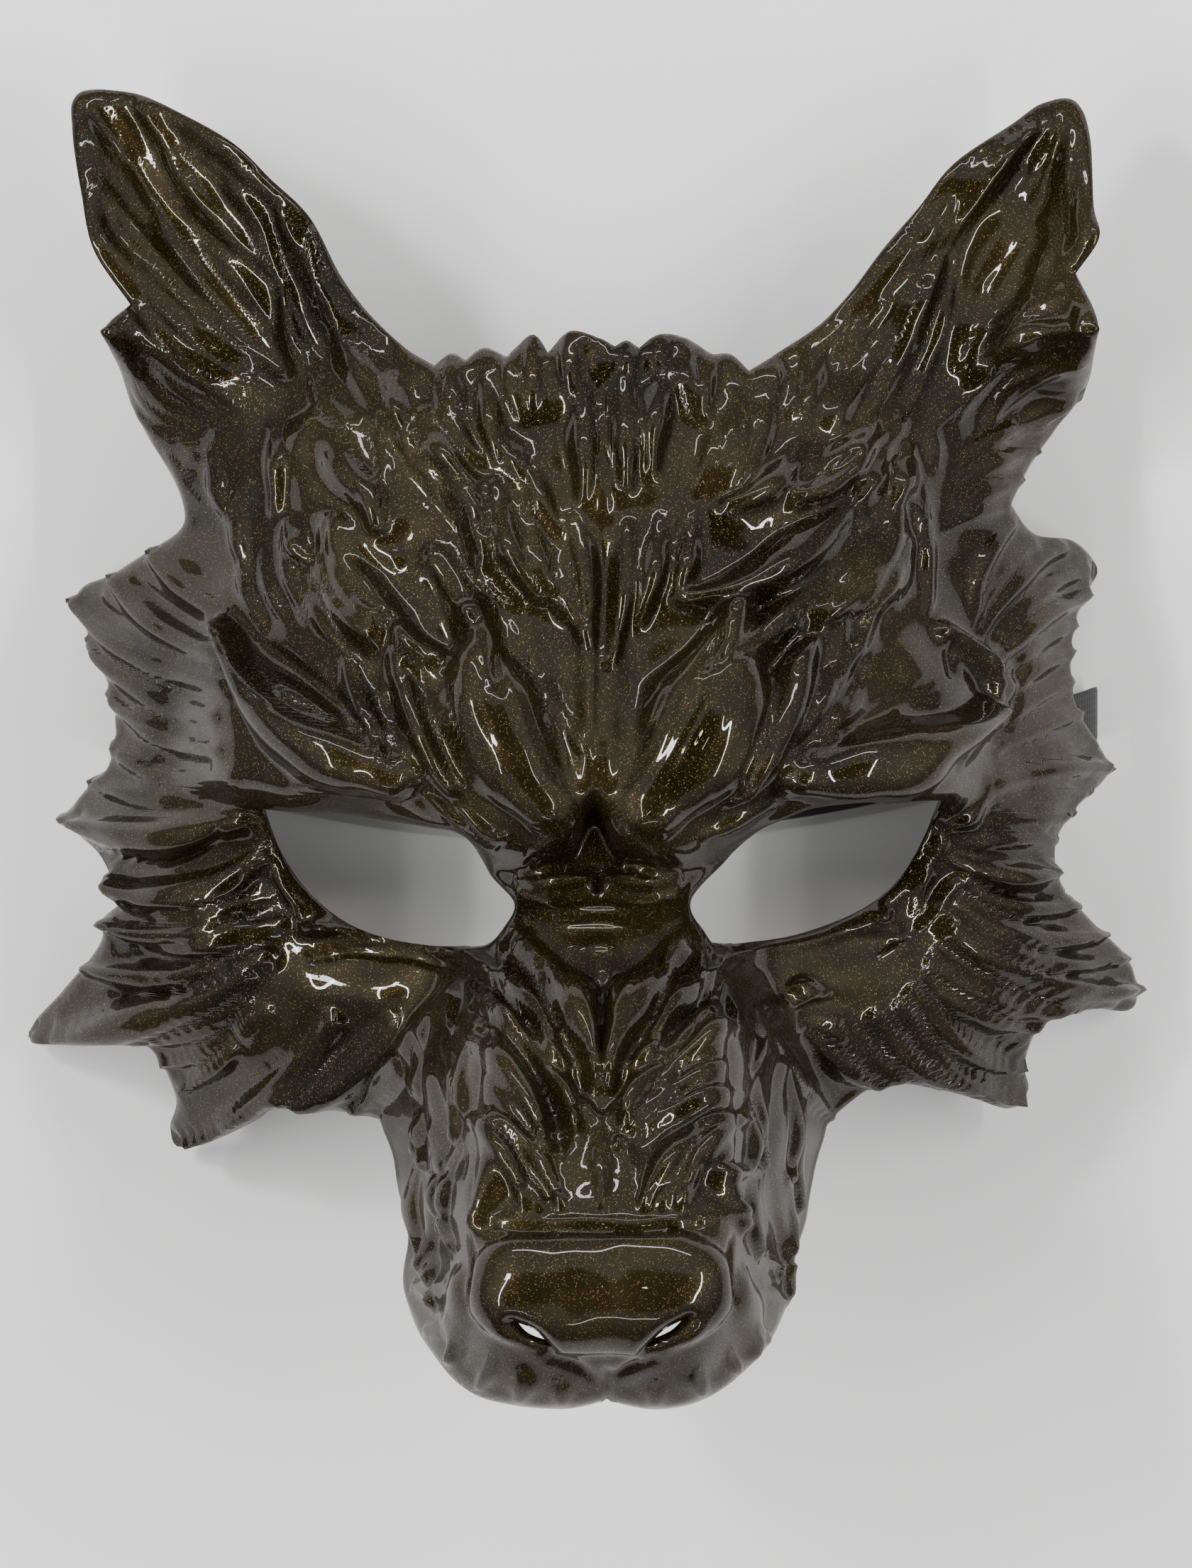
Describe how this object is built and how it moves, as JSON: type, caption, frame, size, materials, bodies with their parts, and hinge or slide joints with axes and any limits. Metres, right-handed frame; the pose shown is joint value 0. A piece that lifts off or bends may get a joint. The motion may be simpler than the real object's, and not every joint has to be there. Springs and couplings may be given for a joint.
{
  "type": "wolf half mask",
  "caption": "Moulded wolf half mask with pricked ears, heavy brow, open eye holes, jagged fur rim and open-bottomed snout, on a flat elastic strap.",
  "frame": {"origin": "on the surface that the mask rests on face up, under the middle of its outline", "axes": "+X to the viewer's right, +Y up the face towards the ears, +Z out of the face"},
  "size_m": [0.185, 0.2188, 0.1171],
  "materials": {
    "shell": "dark bronze metallic under a clear gloss lacquer",
    "strap": "black woven elastic",
    "tab": "plain black plastic"
  },
  "bodies": {
    "root": {"mask_shell": "shell", "elastic_strap": "strap", "strap_anchor_left": "tab", "strap_anchor_right": "tab"}
  },
  "joints": []
}
